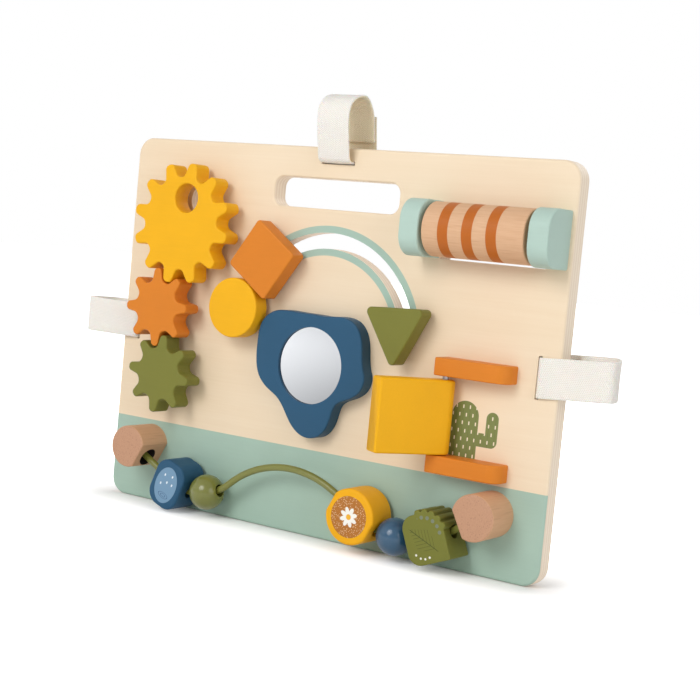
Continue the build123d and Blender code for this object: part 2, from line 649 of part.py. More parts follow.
def make_straps():
    tail_y = FLAP_Y + STRAP_T + 2 * PATCH_T
    soft_patches = []
    hook_patches = []
    for name, plane, reach, bulge, bend in strap_layout():
        face_y = FRONT - STRAP_T / 2 - RETAINER_GAP
        slot_turn = max(bulge / 2, STRAP_T)
        far_y = FRONT - STRAP_T / 2 - bulge
        tail_end = FLAP_END + PATCH_L + STRAP_T
        points = [(FLAP_Y, FLAP_END), (FLAP_Y, reach), (far_y, reach),
                  (face_y - slot_turn, 0), (tail_y, 0), (tail_y, tail_end)]
        strip = ribbon(points, [bend, bend, slot_turn, STRAP_TAIL_BEND_R], STRAP_T)
        write(name, extrude(plane * strip, STRAP_W / 2, both=True))
        for patches, y in ((soft_patches, FLAP_Y + (STRAP_T + PATCH_T) / 2),
                           (hook_patches, tail_y - (STRAP_T + PATCH_T) / 2)):
            shape = Pos(y, FLAP_END + PATCH_L / 2 + STRAP_T / 2) * Rectangle(PATCH_T, PATCH_L)
            patches.append(extrude(plane * shape, PATCH_W / 2, both=True))
    write("strap_loop_patches", *soft_patches)
    write("strap_hook_patches", *hook_patches)


# ------------------------------------------------------------------ board
def round_mouths(panel, cutter, radius):
    """Rounds both mouths of a through hole that the cutter has just made."""
    box = cutter.bounding_box()
    rims = [e for e in panel.edges()
            if abs(abs(e.center().Y) - BOARD_T / 2) < 0.01
            and box.min.X - 0.01 < e.center().X < box.max.X + 0.01
            and box.min.Z - 0.01 < e.center().Z < box.max.Z + 0.01]
    return fillet(rims, radius)


def make_board():
    outline = Pos(0, BOARD_H / 2) * RectangleRounded(BOARD_W, BOARD_H, BOARD_CORNER_R)
    panel = rounded(slab(outline, BACK, BOARD_T), BOARD_EDGE_R, FRONT, BACK)

    hand_z = BOARD_H - HAND_TOP_MARGIN - HAND_H / 2
    hand = slab(Pos(0, hand_z) * RectangleRounded(HAND_W, HAND_H, HAND_CORNER_R), BACK, BOARD_T)
    panel = round_mouths(panel - hand, hand, HAND_EDGE_R)

    sweep_angle = 180 - 2 * ARC_END
    arc = Wire([CenterArc((0, ARC_Z), ARC_R, ARC_END, sweep_angle)])
    groove_w = 2 * (SLIDER_RETAINER_R + RETAINER_MARGIN)
    panel -= slab(SlotArc(arc, ARC_SLOT_W), BACK, BOARD_T)
    panel -= slab(SlotArc(arc, groove_w), BACK, REAR_RECESS)

    for _, (x, z), _, _ in gear_layout():
        panel -= slab(Pos(x, z) * Circle(AXLE_R + AXLE_CLEARANCE), BACK, BOARD_T)
        panel -= slab(Pos(x, z) * Circle(GEAR_RETAINER_R + RETAINER_MARGIN), BACK, REAR_RECESS)
    panel -= slab(Pos(*peep_centre()) * Circle(PEEP_REAR_R), BACK, BOARD_T)

    window = Rectangle(ROLLER_L + 2 * WINDOW_END_ROOM, WINDOW_ABOVE + WINDOW_BELOW)
    window_z = ROLLER_Z + (WINDOW_ABOVE - WINDOW_BELOW) / 2
    panel -= slab(Pos(ROLLER_X, window_z) * window, BACK, BOARD_T)

    slot = Rectangle(STRAP_SLOT_H, STRAP_W + STRAP_SLOT_LENGTH_ROOM)
    slot_x = BOARD_W / 2 - SIDE_SLOT_INSET
    for x in (-slot_x, slot_x):
        panel -= slab(Pos(x, SIDE_STRAP_Z) * slot, BACK, BOARD_T)
    panel -= slab(Pos(0, BOARD_H - TOP_SLOT_INSET) * Rot(0, 0, 90) * slot, BACK, BOARD_T)

    for screw in frame_screws() + bar_screws() + block_screws() + peg_screws():
        panel -= screw
    write("board", panel)


make_board()
make_gears()
make_sliders()
make_mirror()
make_roller()
make_door()
make_wire()
make_beads()
make_straps()
write("wood_screws_short", *frame_screws(), *bar_screws())
write("wood_screws_long", *block_screws(), *peg_screws())
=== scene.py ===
import math

import bmesh
import bpy
from mathutils import Matrix, Vector


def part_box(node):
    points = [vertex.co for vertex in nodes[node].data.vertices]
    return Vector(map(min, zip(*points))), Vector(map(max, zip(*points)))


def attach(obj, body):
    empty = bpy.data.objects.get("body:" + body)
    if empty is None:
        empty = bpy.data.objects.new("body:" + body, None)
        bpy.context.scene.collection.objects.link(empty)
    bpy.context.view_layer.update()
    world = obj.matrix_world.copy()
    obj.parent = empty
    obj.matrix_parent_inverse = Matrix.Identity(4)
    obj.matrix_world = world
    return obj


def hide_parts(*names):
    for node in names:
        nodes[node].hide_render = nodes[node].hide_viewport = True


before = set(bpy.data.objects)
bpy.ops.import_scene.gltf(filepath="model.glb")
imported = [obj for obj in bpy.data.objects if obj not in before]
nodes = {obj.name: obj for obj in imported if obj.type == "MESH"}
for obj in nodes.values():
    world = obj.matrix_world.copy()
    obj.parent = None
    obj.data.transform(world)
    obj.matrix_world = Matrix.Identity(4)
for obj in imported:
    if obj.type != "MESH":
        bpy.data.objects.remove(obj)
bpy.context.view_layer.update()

# ---------------------------------------------------------------------------
# The board: a panel of birch plywood, routed to shape, its edges eased by hand.
# The face is clear-lacquered; a mint band is rolled across the foot and two
# thin mint arcs frame the slot. The core plies show on every cut edge.


def linear(red, green, blue):
    """A paint-chart colour, 0 to 255 a channel, as the shader wants it."""
    def channel(c):
        c /= 255
        return c / 12.92 if c <= 0.04045 else ((c + 0.055) / 1.055) ** 2.4
    return (channel(red), channel(green), channel(blue), 1.0)


def calc(tree, operation, *values):
    """One Math node; each value is a number or a socket."""
    node = tree.nodes.new("ShaderNodeMath")
    node.operation = operation
    for socket, value in zip(node.inputs, values):
        if isinstance(value, (int, float)):
            socket.default_value = value
        else:
            tree.links.new(value, socket)
    return node.outputs[0]


def tint(tree, mask, below, above):
    """Colour below where the mask is 0 and above where it is 1."""
    node = tree.nodes.new("ShaderNodeMix")
    node.data_type = "RGBA"
    for socket, value in ((node.inputs[0], mask), (node.inputs[6], below), (node.inputs[7], above)):
        if isinstance(value, (int, float, tuple)):
            socket.default_value = value
        else:
            tree.links.new(value, socket)
    return node.outputs[2]


def spot(tree, distance, edge, soft=0.00012):
    """1 inside an outline given by a distance and its edge, 0 outside, with a printed edge."""
    node = tree.nodes.new("ShaderNodeMapRange")
    node.interpolation_type = "SMOOTHSTEP"
    tree.links.new(distance, node.inputs["Value"])
    node.inputs["From Min"].default_value = edge - soft
    node.inputs["From Max"].default_value = edge + soft
    node.inputs["To Min"].default_value = 1
    node.inputs["To Max"].default_value = 0
    return node.outputs["Result"]


def slant(tree, a, b):
    """Length of the line that has the legs a and b."""
    squares = calc(tree, "ADD", calc(tree, "MULTIPLY", a, a), calc(tree, "MULTIPLY", b, b))
    return calc(tree, "SQRT", squares)


def capsule(tree, x, z, start, end):
    """Distance from a straight stroke that is level or upright."""
    near_x = calc(tree, "MINIMUM", calc(tree, "MAXIMUM", x, start[0]), end[0])
    near_z = calc(tree, "MINIMUM", calc(tree, "MAXIMUM", z, start[1]), end[1])
    return slant(tree, calc(tree, "SUBTRACT", x, near_x), calc(tree, "SUBTRACT", z, near_z))


def group_with(name, ins, outs):
    """A new shader node group with its named sockets and its two end nodes."""
    group = bpy.data.node_groups.new(name, "ShaderNodeTree")
    for socket, kind in ins:
        group.interface.new_socket(socket, in_out="INPUT", socket_type=kind)
    for socket, kind in outs:
        group.interface.new_socket(socket, in_out="OUTPUT", socket_type=kind)
    return group, group.nodes.new("NodeGroupInput"), group.nodes.new("NodeGroupOutput")


def noise(tree, vector, scale, detail=2.0, distortion=0.0):
    node = tree.nodes.new("ShaderNodeTexNoise")
    tree.links.new(vector, node.inputs["Vector"])
    node.inputs["Scale"].default_value = scale
    node.inputs["Detail"].default_value = detail
    node.inputs["Distortion"].default_value = distortion
    return node.outputs["Fac"]


def vector_times(tree, vector, factor):
    node = tree.nodes.new("ShaderNodeVectorMath")
    node.operation = "MULTIPLY"
    tree.links.new(vector, node.inputs[0])
    if isinstance(factor, tuple):
        node.inputs[1].default_value = factor
    else:
        tree.links.new(factor, node.inputs[1])
    return node.outputs[0]


# sawn wood: fibre noise, growth rings and short dark flecks, all drawn out along the grain
ring_count = 46.0
fleck_radius = 0.22

wood_figure, figure_in, figure_out = group_with(
    "wood_figure",
    [("Vector", "NodeSocketVector"), ("Stretch", "NodeSocketVector")],
    [("Fibre", "NodeSocketFloat"), ("Rings", "NodeSocketFloat"), ("Flecks", "NodeSocketFloat")])
fibre_space = vector_times(wood_figure, figure_in.outputs["Vector"], figure_in.outputs["Stretch"])
wood_figure.links.new(noise(wood_figure, fibre_space, 1.0, 3.0), figure_out.inputs["Fibre"])
ring_field = noise(wood_figure, fibre_space, 0.07, 1.5, 0.4)
ring_wave = calc(wood_figure, "SINE", calc(wood_figure, "MULTIPLY", ring_field, ring_count))
rings = calc(wood_figure, "MULTIPLY_ADD", ring_wave, 0.5, 0.5)
wood_figure.links.new(rings, figure_out.inputs["Rings"])
fleck_cells = wood_figure.nodes.new("ShaderNodeTexVoronoi")
fleck_cells.inputs["Scale"].default_value = 0.55
wood_figure.links.new(fibre_space, fleck_cells.inputs["Vector"])
flecks = spot(wood_figure, fleck_cells.outputs["Distance"], fleck_radius, 0.1)
wood_figure.links.new(flecks, figure_out.inputs["Flecks"])

# plywood from the side: every other veneer is end grain, with a glue line between
veneer = 0.00156
first_veneer = 20.5

ply_layers, ply_in, ply_out = group_with(
    "ply_layers",
    [("Depth", "NodeSocketFloat")],
    [("Core", "NodeSocketFloat"), ("Glue", "NodeSocketFloat")])
layer = calc(ply_layers, "MULTIPLY_ADD", ply_in.outputs["Depth"], 1 / veneer, first_veneer)
half_layer = calc(ply_layers, "MULTIPLY", layer, 0.5)
core = calc(ply_layers, "GREATER_THAN", calc(ply_layers, "FRACT", half_layer), 0.5)
from_middle = calc(ply_layers, "MULTIPLY_ADD", calc(ply_layers, "FRACT", layer), 2.0, -1.0)
glue = calc(ply_layers, "POWER", calc(ply_layers, "ABSOLUTE", from_middle), 14.0)
ply_layers.links.new(core, ply_out.inputs["Core"])
ply_layers.links.new(glue, ply_out.inputs["Glue"])

# sprayed paint: slightly cloudy, with orange peel and the grain telling through
paint_coat, coat_in, coat_out = group_with(
    "paint_coat",
    [("Vector", "NodeSocketVector"), ("Colour", "NodeSocketColor"), ("Grain", "NodeSocketFloat")],
    [("Colour", "NodeSocketColor"), ("Roughness", "NodeSocketFloat"),
     ("Height", "NodeSocketFloat")])
coat_cloud = noise(paint_coat, coat_in.outputs["Vector"], 38.0, 3.0)
coat_peel = noise(paint_coat, coat_in.outputs["Vector"], 1500.0, 2.0)
coat_shade = paint_coat.nodes.new("ShaderNodeHueSaturation")
paint_coat.links.new(coat_in.outputs["Colour"], coat_shade.inputs["Color"])
cloud_value = calc(paint_coat, "MULTIPLY_ADD", coat_cloud, 0.12, 0.94)
grain_value = calc(paint_coat, "MULTIPLY_ADD", coat_in.outputs["Grain"], 0.06, -0.03)
paint_coat.links.new(calc(paint_coat, "ADD", cloud_value, grain_value), coat_shade.inputs["Value"])
paint_coat.links.new(coat_shade.outputs["Color"], coat_out.inputs["Colour"])
coat_roughness = calc(paint_coat, "MULTIPLY_ADD", coat_cloud, 0.16, 0.38)
paint_coat.links.new(coat_roughness, coat_out.inputs["Roughness"])
peel_height = calc(paint_coat, "MULTIPLY", coat_peel, 0.3)
coat_relief = calc(paint_coat, "MULTIPLY_ADD", coat_in.outputs["Grain"], 0.7, peel_height)
paint_coat.links.new(coat_relief, coat_out.inputs["Height"])


class Finish:
    """A material being laid up: its tree, its shader and its object coordinates."""

    def __init__(self, name):
        self.material = bpy.data.materials.new(name)
        self.material.use_nodes = True
        self.tree = self.material.node_tree
        self.shader = self.tree.nodes["Principled BSDF"]
        self.place = self.tree.nodes.new("ShaderNodeTexCoord")
        self.vector = self.place.outputs["Object"]
        axes = self.tree.nodes.new("ShaderNodeSeparateXYZ")
        self.tree.links.new(self.vector, axes.inputs[0])
        self.x, self.y, self.z = axes.outputs
        facing = self.tree.nodes.new("ShaderNodeSeparateXYZ")
        self.tree.links.new(self.place.outputs["Normal"], facing.inputs[0])
        self.facing_x, self.facing_y, self.facing_z = facing.outputs

    def use(self, group, **values):
        """Places a node group and wires or sets its inputs."""
        node = self.tree.nodes.new("ShaderNodeGroup")
        node.node_tree = group
        for name, value in values.items():
            if isinstance(value, bpy.types.NodeSocket):
                self.tree.links.new(value, node.inputs[name])
            else:
                node.inputs[name].default_value = value
        return node.outputs

    def join(self, value, socket):
        self.tree.links.new(value, self.shader.inputs[socket])

    def raise_by(self, height, distance, strength=1.0):
        """Bumps the surface by a height field, in metres."""
        bump = self.tree.nodes.new("ShaderNodeBump")
        bump.inputs["Distance"].default_value = distance
        bump.inputs["Strength"].default_value = strength
        self.tree.links.new(height, bump.inputs["Height"])
        self.join(bump.outputs["Normal"], "Normal")


def dress(name, material):
    """Gives a machined piece its finish, with its round faces shaded smooth."""
    piece = nodes[name]
    piece.data.materials.clear()
    piece.data.materials.append(material)
    piece.data.shade_smooth()
    weld = piece.modifiers.new("weld", "WELD")
    weld.merge_threshold = 1e-6
    split = piece.modifiers.new("split", "EDGE_SPLIT")
    split.split_angle = math.radians(28)


wood_relief = 0.00006
mint = linear(161, 187, 172)
birch_light = linear(239, 221, 194)
birch_dark = linear(226, 202, 169)
leaf_green = linear(112, 122, 62)
glue_brown = linear(178, 150, 130)

foot_band_height = 0.0596
arc_centre_z = 0.1353
slot_radius = 0.06845
arc_from_slot = 0.00765
arc_half_width = 0.0025
arc_end_slope = 0.2290
trunk_x, trunk_foot, trunk_top, trunk_radius = 0.1170, 0.070, 0.1005, 0.0098
arm_x, arm_elbow, arm_top, arm_radius = 0.1368, 0.0868, 0.1010, 0.0044
rib_pitch = 0.0048
prick_pitch = 0.0052

ply = Finish("birch_panel")
tree = ply.tree
grain = ply.use(wood_figure, Vector=ply.vector, Stretch=(22.0, 700.0, 700.0))
clouding = noise(tree, vector_times(tree, ply.vector, (9.0, 9.0, 16.0)), 1.0, 2.0)
ring_tone = calc(tree, "MULTIPLY", grain["Rings"], 0.08)
face_tone = calc(tree, "MULTIPLY_ADD", grain["Fibre"], 0.30, ring_tone)
face_tone = calc(tree, "MULTIPLY_ADD", clouding, 0.75, calc(tree, "ADD", face_tone, -0.12))
face_colour = tint(tree, face_tone, birch_light, birch_dark)
layers = ply.use(ply_layers, Depth=ply.y)
edge_grain = ply.use(wood_figure, Vector=ply.vector, Stretch=(260.0, 1400.0, 260.0))
edge_colour = tint(tree, layers["Core"], linear(251, 236, 214), linear(241, 222, 198))
edge_streak = calc(tree, "MULTIPLY", edge_grain["Fibre"], 0.2)
edge_colour = tint(tree, edge_streak, edge_colour, linear(214, 190, 168))
edge_colour = tint(tree, calc(tree, "MULTIPLY", layers["Glue"], 0.42), edge_colour, glue_brown)
on_face = spot(tree, calc(tree, "MULTIPLY", calc(tree, "ABSOLUTE", ply.facing_y), -1.0), -0.45, 0.1)
wood_colour = tint(tree, on_face, edge_colour, face_colour)

# the paint on the face: the foot band, the two arcs and a cactus behind the door
up_from_arc = calc(tree, "SUBTRACT", ply.z, arc_centre_z)
arc_radius = slant(tree, ply.x, up_from_arc)
off_slot = calc(tree, "ABSOLUTE", calc(tree, "SUBTRACT", arc_radius, slot_radius))
off_band = calc(tree, "ABSOLUTE", calc(tree, "SUBTRACT", off_slot, arc_from_slot))
arc_band = spot(tree, off_band, arc_half_width)
end_height = calc(tree, "MULTIPLY", calc(tree, "ABSOLUTE", ply.x), arc_end_slope)
above_ends = calc(tree, "GREATER_THAN", up_from_arc, end_height)
arcs = calc(tree, "MULTIPLY", arc_band, above_ends)
foot_band = spot(tree, ply.z, foot_band_height)
front_only = spot(tree, ply.facing_y, -0.35, 0.1)
mint_mask = calc(tree, "MULTIPLY", calc(tree, "MAXIMUM", foot_band, arcs), front_only)

cactus = 0.0
for start, end, radius in (((trunk_x, trunk_foot), (trunk_x, trunk_top), trunk_radius),
                           ((trunk_x, arm_elbow), (arm_x, arm_elbow), arm_radius),
                           ((arm_x, arm_elbow), (arm_x, arm_top), arm_radius)):
    stroke = spot(tree, capsule(tree, ply.x, ply.z, start, end), radius)
    cactus = calc(tree, "MAXIMUM", stroke, cactus)
cactus = calc(tree, "MULTIPLY", cactus, front_only)
half_rib = rib_pitch / 2
rib = calc(tree, "ABSOLUTE", calc(tree, "WRAP", ply.x, half_rib, -half_rib))
rib_line = spot(tree, rib, 0.00022)
row = calc(tree, "FLOOR", calc(tree, "MULTIPLY", ply.z, 1 / prick_pitch))
shift = calc(tree, "MULTIPLY", calc(tree, "WRAP", row, 1.0, -1.0), half_rib)
prick_x = calc(tree, "WRAP", calc(tree, "ADD", ply.x, shift), half_rib, -half_rib)
prick_z = calc(tree, "WRAP", ply.z, prick_pitch, 0.0)
prick = spot(tree, capsule(tree, prick_x, prick_z, (0.0, 0.0018), (0.0, 0.0034)), 0.0004, 0.00008)

painted = ply.use(paint_coat, Vector=ply.vector, Colour=mint, Grain=grain["Fibre"])
leafy = ply.use(paint_coat, Vector=ply.vector, Colour=leaf_green, Grain=grain["Fibre"])
rib_shade = calc(tree, "MULTIPLY", rib_line, 0.45)
leafy_colour = tint(tree, rib_shade, leafy["Colour"], linear(84, 94, 44))
leafy_colour = tint(tree, prick, leafy_colour, linear(240, 230, 205))
surface = tint(tree, mint_mask, wood_colour, painted["Colour"])
surface = tint(tree, cactus, surface, leafy_colour)
ply.join(surface, "Base Color")
ply.join(calc(tree, "MULTIPLY_ADD", grain["Fibre"], 0.18, 0.42), "Roughness")
glue_dip = calc(tree, "MULTIPLY", layers["Glue"], -0.5)
ply.raise_by(calc(tree, "ADD", grain["Fibre"], glue_dip), wood_relief)
dress("board", ply.material)

# ---------------------------------------------------------------------------
# The gears: three wheels sawn from 15 mm board, sanded round and sprayed in
# satin paint. Each turns on a beech dowel whose collar keeps it off the board,
# held behind by a plywood disc in a counterbore and one countersunk screw.


def paint(name, colour, stretch=(60.0, 900.0, 900.0), strength=1.0):
    """Satin paint over wood, the grain just telling through it."""
    finish = Finish(name)
    wood = finish.use(wood_figure, Vector=finish.vector, Stretch=stretch)
    coat = finish.use(paint_coat, Vector=finish.vector, Colour=colour, Grain=wood["Fibre"])
    finish.join(coat["Colour"], "Base Color")
    finish.join(coat["Roughness"], "Roughness")
    finish.raise_by(coat["Height"], 0.00005, strength)
    finish.shader.inputs["Specular IOR Level"].default_value = 0.2
    return finish


yellow = paint("yellow_paint", linear(237, 175, 21)).material
orange = paint("orange_paint", linear(214, 126, 38)).material
green = paint("green_paint", linear(119, 119, 52)).material

plain_beech = Finish("plain_beech")
tree = plain_beech.tree
wood = plain_beech.use(wood_figure, Vector=plain_beech.vector, Stretch=(900.0, 60.0, 900.0))
colour = tint(tree, wood["Fibre"], linear(226, 190, 152), linear(203, 160, 122))
colour = tint(tree, calc(tree, "MULTIPLY", wood["Flecks"], 0.35), colour, linear(168, 118, 84))
plain_beech.join(colour, "Base Color")
plain_beech.shader.inputs["Roughness"].default_value = 0.62
plain_beech.raise_by(wood["Fibre"], wood_relief)

retainer_ply = Finish("retainer_ply")
tree = retainer_ply.tree
wood = retainer_ply.use(wood_figure, Vector=retainer_ply.vector, Stretch=(60.0, 900.0, 900.0))
layers = retainer_ply.use(ply_layers, Depth=retainer_ply.y)
face = tint(tree, wood["Fibre"], linear(236, 218, 190), linear(216, 190, 156))
edge = tint(tree, layers["Core"], face, linear(196, 168, 140))
edge = tint(tree, layers["Glue"], edge, linear(140, 112, 92))
level = spot(tree, calc(tree, "ABSOLUTE", retainer_ply.facing_y), 0.5, 0.1)
retainer_ply.join(tint(tree, level, face, edge), "Base Color")
retainer_ply.shader.inputs["Roughness"].default_value = 0.55
retainer_ply.raise_by(wood["Fibre"], wood_relief)

zinc = Finish("zinc_plate")
tree = zinc.tree
cloud = noise(tree, zinc.vector, 900.0, 3.0)
zinc.join(tint(tree, cloud, linear(132, 132, 136), linear(164, 164, 166)), "Base Color")
zinc.shader.inputs["Metallic"].default_value = 1.0
zinc.join(calc(tree, "MULTIPLY_ADD", cloud, 0.2, 0.25), "Roughness")
zinc.raise_by(cloud, 0.00002)


head_radius = 0.004
head_depth = 0.0022
shank_radius = 0.0019
point_radius = 0.0002
point_length = 0.003
cross_half_width = 0.00045
cross_reach = 0.0021
cross_depth = 0.0014


def screws(name, body, node, length, spots):
    """Countersunk cross-head screws driven from behind, at spots (x, head's face y, z)."""
    one = bmesh.new()
    bmesh.ops.create_circle(one, cap_ends=True, cap_tris=True, segments=28, radius=head_radius)
    for normal in ((1, 0, 0), (0, 1, 0)):
        for offset in (-cross_half_width, cross_half_width, -cross_reach, cross_reach):
            everything = one.verts[:] + one.edges[:] + one.faces[:]
            bmesh.ops.bisect_plane(
                one, geom=everything, plane_co=Vector(normal) * offset, plane_no=normal)
    cross = []
    for face in one.faces:
        near, far = sorted(abs(c) for c in face.calc_center_median().xy)
        if near < cross_half_width and far < cross_reach:
            cross.append(face)
    rim = [e for e in one.edges if e.is_boundary]
    for radius, depth in ((shank_radius, head_depth), (shank_radius, length - point_length),
                          (point_radius, length)):
        grown = bmesh.ops.extrude_edge_only(one, edges=rim)["geom"]
        for v in grown:
            if isinstance(v, bmesh.types.BMVert):
                flat = Vector((v.co.x, v.co.y, 0)).normalized() * radius
                v.co = Vector((flat.x, flat.y, -depth))
        rim = [e for e in grown if isinstance(e, bmesh.types.BMEdge)
               and all(abs(v.co.z + depth) < 1e-7 for v in e.verts)]
    bmesh.ops.contextual_create(one, geom=rim)
    pit = bmesh.ops.extrude_face_region(one, geom=cross)["geom"]
    bmesh.ops.delete(one, geom=cross, context="FACES")
    for v in pit:
        if isinstance(v, bmesh.types.BMVert):
            v.co = Vector((v.co.x * 0.8, v.co.y * 0.8, -cross_depth))
    bmesh.ops.remove_doubles(one, verts=one.verts, dist=1e-7)
    to_back = Matrix.Rotation(math.radians(-90), 3, "X")
    bmesh.ops.rotate(one, verts=one.verts, cent=(0, 0, 0), matrix=to_back)
    stock = bpy.data.meshes.new("screw_stock")
    one.to_mesh(stock)
    one.free()
    tray = bmesh.new()
    for turn, place in enumerate(spots):
        before = len(tray.verts)
        tray.from_mesh(stock)
        tray.verts.ensure_lookup_table()
        fresh = tray.verts[before:]
        driven = Matrix.Rotation(0.7 * turn + 0.3, 3, "Y")
        bmesh.ops.rotate(tray, verts=fresh, cent=(0, 0, 0), matrix=driven)
        bmesh.ops.translate(tray, verts=fresh, vec=Vector(place))
    bmesh.ops.recalc_face_normals(tray, faces=tray.faces)
    bpy.data.meshes.remove(stock)
    return settle(tray, name, body, node, zinc.material, smooth_angle=30)


def settle(bm, name, body, node, material, smooth_angle=None):
    """Turns a finished bmesh into a piece that stands for a node and rides on a body."""
    mesh = bpy.data.meshes.new(name)
    bm.to_mesh(mesh)
    bm.free()
    mesh.materials.append(material)
    mesh.shade_smooth()
    if smooth_angle is not None:
        mesh.set_sharp_from_angle(angle=math.radians(smooth_angle))
    piece = bpy.data.objects.new(name, mesh)
    bpy.context.scene.collection.objects.link(piece)
    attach(piece, body)
    if node is not None:
        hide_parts(node)
    return piece


def own_screw(body):
    """The one screw behind a turning or sliding piece."""
    node = body + "_screw"
    low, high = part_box(node)
    spot_behind = ((low.x + high.x) / 2, high.y, (low.z + high.z) / 2)
    screws(body + "_cross_screw", body, node, high.y - low.y, [spot_behind])


for body, colour in (("large_gear", yellow), ("middle_gear", orange), ("lower_gear", green)):
    dress(body, colour)
    dress(body + "_dowel", plain_beech.material)
    dress(body + "_retainer", retainer_ply.material)
    own_screw(body)

# ---------------------------------------------------------------------------
# The sliders: a square, a disc and a triangle of 13 mm wood, painted like the
# gears. A dowel glued into each runs in the arc slot, and a plywood disc in
# the groove behind keeps it there.

for body, colour in (("square_slider", orange), ("disc_slider", yellow),
                     ("triangle_slider", green)):
    dress(body, colour)
    dress(body + "_dowel", plain_beech.material)
    dress(body + "_retainer", retainer_ply.material)
    own_screw(body)

# ---------------------------------------------------------------------------
# The mirror: a soft three-lobed frame in deep blue with a round window. The
# silvered sheet sits behind the window's lip on a plywood packing, and three
# screws through the board hold the frame.

deep_blue = linear(40, 82, 112)
blue = paint("blue_paint", deep_blue).material
dress("mirror_frame", blue)
dress("mirror_backing", retainer_ply.material)

silver = Finish("silvered_sheet")
tree = silver.tree
ripple = noise(tree, silver.vector, 30.0, 1.0)
up_left = calc(tree, "ADD", silver.z, calc(tree, "MULTIPLY", silver.x, -0.6))
# painted reflection: the silver's colour runs from dark at the lower right to light at the upper
# left, as a reflected light would
painted_reflection_ramp = calc(tree, "MULTIPLY_ADD", up_left, 11.0, -0.78)
silver.join(tint(tree, painted_reflection_ramp, linear(113, 114, 116), linear(192, 194, 197)), "Base Color")
silver.shader.inputs["Metallic"].default_value = 1.0
silver.join(calc(tree, "MULTIPLY_ADD", ripple, 0.03, 0.03), "Roughness")
silver.raise_by(ripple, 0.0001, 0.3)
dress("mirror_disc", silver.material)

# ---------------------------------------------------------------------------
# The roller: a turned beech drum with three orange rings, free on a steel rod
# between two D-shaped mint blocks. It dips into a window in the board so that
# a child can spin it from either side.

drum_middle_x = 0.1214
ring_pitch = 0.01715
ring_half_width = 0.0037

drum = Finish("ringed_beech")
tree = drum.tree
wood = drum.use(wood_figure, Vector=drum.vector, Stretch=(75.0, 1200.0, 1200.0))
bare = tint(tree, wood["Fibre"], linear(224, 184, 148), linear(206, 160, 122))
bare = tint(tree, calc(tree, "MULTIPLY", wood["Flecks"], 0.28), bare, linear(186, 136, 104))
from_middle = calc(tree, "ABSOLUTE", calc(tree, "SUBTRACT", drum.x, drum_middle_x))
from_outer = calc(tree, "ABSOLUTE", calc(tree, "SUBTRACT", from_middle, ring_pitch))
from_ring = calc(tree, "MINIMUM", from_middle, from_outer)
on_side = spot(tree, calc(tree, "ABSOLUTE", drum.facing_x), 0.6, 0.1)
ring = calc(tree, "MULTIPLY", spot(tree, from_ring, ring_half_width), on_side)
rust = linear(182, 97, 26)
coat = drum.use(paint_coat, Vector=drum.vector, Colour=rust, Grain=wood["Fibre"])
drum.join(tint(tree, ring, bare, coat["Colour"]), "Base Color")
drum.join(calc(tree, "MULTIPLY_ADD", ring, -0.12, 0.58), "Roughness")
drum.shader.inputs["Specular IOR Level"].default_value = 0.25
fleck_dip = calc(tree, "MULTIPLY", wood["Flecks"], -0.4)
drum.raise_by(calc(tree, "ADD", wood["Fibre"], fleck_dip), 0.00007)
dress("roller", drum.material)
dress("roller_axle", zinc.material)

mint_coat = paint("mint_paint", linear(178, 202, 191)).material
dress("roller_block_left", mint_coat)
dress("roller_block_right", mint_coat)

# ---------------------------------------------------------------------------
# The door: a thick yellow leaf with a rounded hinge edge, swinging on a steel
# pin between two orange bars that are screwed from behind.

dress("door", yellow)
dress("door_bar_upper", orange)
dress("door_bar_lower", orange)
dress("door_pin", zinc.material)

# ---------------------------------------------------------------------------
# The pegs and the wire: two oiled beech pegs, each with one sawn flat and a
# dark bore, hold the ends of a thick steel wire dipped in olive enamel.

end_grain = Finish("oiled_beech")
tree = end_grain.tree
wood = end_grain.use(wood_figure, Vector=end_grain.vector, Stretch=(900.0, 60.0, 900.0))
bare = tint(tree, wood["Fibre"], linear(214, 168, 130), linear(200, 152, 114))
bare = tint(tree, calc(tree, "MULTIPLY", wood["Flecks"], 0.2), bare, linear(160, 110, 80))
pores = end_grain.use(wood_figure, Vector=end_grain.vector, Stretch=(1500.0, 1500.0, 900.0))
cut = tint(tree, pores["Fibre"], linear(200, 156, 124), linear(174, 126, 97))
cut = tint(tree, calc(tree, "MULTIPLY", pores["Flecks"], 0.5), cut, linear(150, 102, 80))
on_end = spot(tree, end_grain.facing_y, -0.7, 0.1)
bare = tint(tree, on_end, bare, cut)
# the bore, painted near-black for the shade inside it: near the wire's line and above the flat
wire_slope = math.radians(28)
wire_cos, wire_sin = math.cos(wire_slope), math.sin(wire_slope)
wire_foot_x, wire_foot_y, wire_foot_z = 0.1101, -0.0215, 0.0214
bore_radius = 0.00705
bore_end = 0.036
across = calc(tree, "SUBTRACT", calc(tree, "ABSOLUTE", end_grain.x), wire_foot_x)
up = calc(tree, "SUBTRACT", end_grain.z, wire_foot_z)
along = calc(tree, "MULTIPLY_ADD", across, wire_cos, calc(tree, "MULTIPLY", up, wire_sin))
aside = calc(tree, "MULTIPLY_ADD", across, -wire_sin, calc(tree, "MULTIPLY", up, wire_cos))
level = calc(tree, "SUBTRACT", end_grain.y, wire_foot_y)
in_bore = spot(tree, slant(tree, aside, level), bore_radius, 0.00003)
bore_painted_shade = calc(tree, "MULTIPLY", in_bore, calc(tree, "LESS_THAN", along, bore_end))
bare = tint(tree, bore_painted_shade, bare, linear(34, 27, 24))
end_grain.join(bare, "Base Color")
end_grain.shader.inputs["Roughness"].default_value = 0.6
end_grain.raise_by(wood["Fibre"], 0.00007)
dress("peg_left", end_grain.material)
dress("peg_right", end_grain.material)

enamel = Finish("olive_enamel")
tree = enamel.tree
coat = enamel.use(paint_coat, Vector=enamel.vector, Colour=linear(116, 118, 48), Grain=0.5)
enamel.join(coat["Colour"], "Base Color")
enamel.join(calc(tree, "ADD", coat["Roughness"], -0.12), "Roughness")
enamel.raise_by(coat["Height"], 0.00003)
dress("bead_wire", enamel.material)

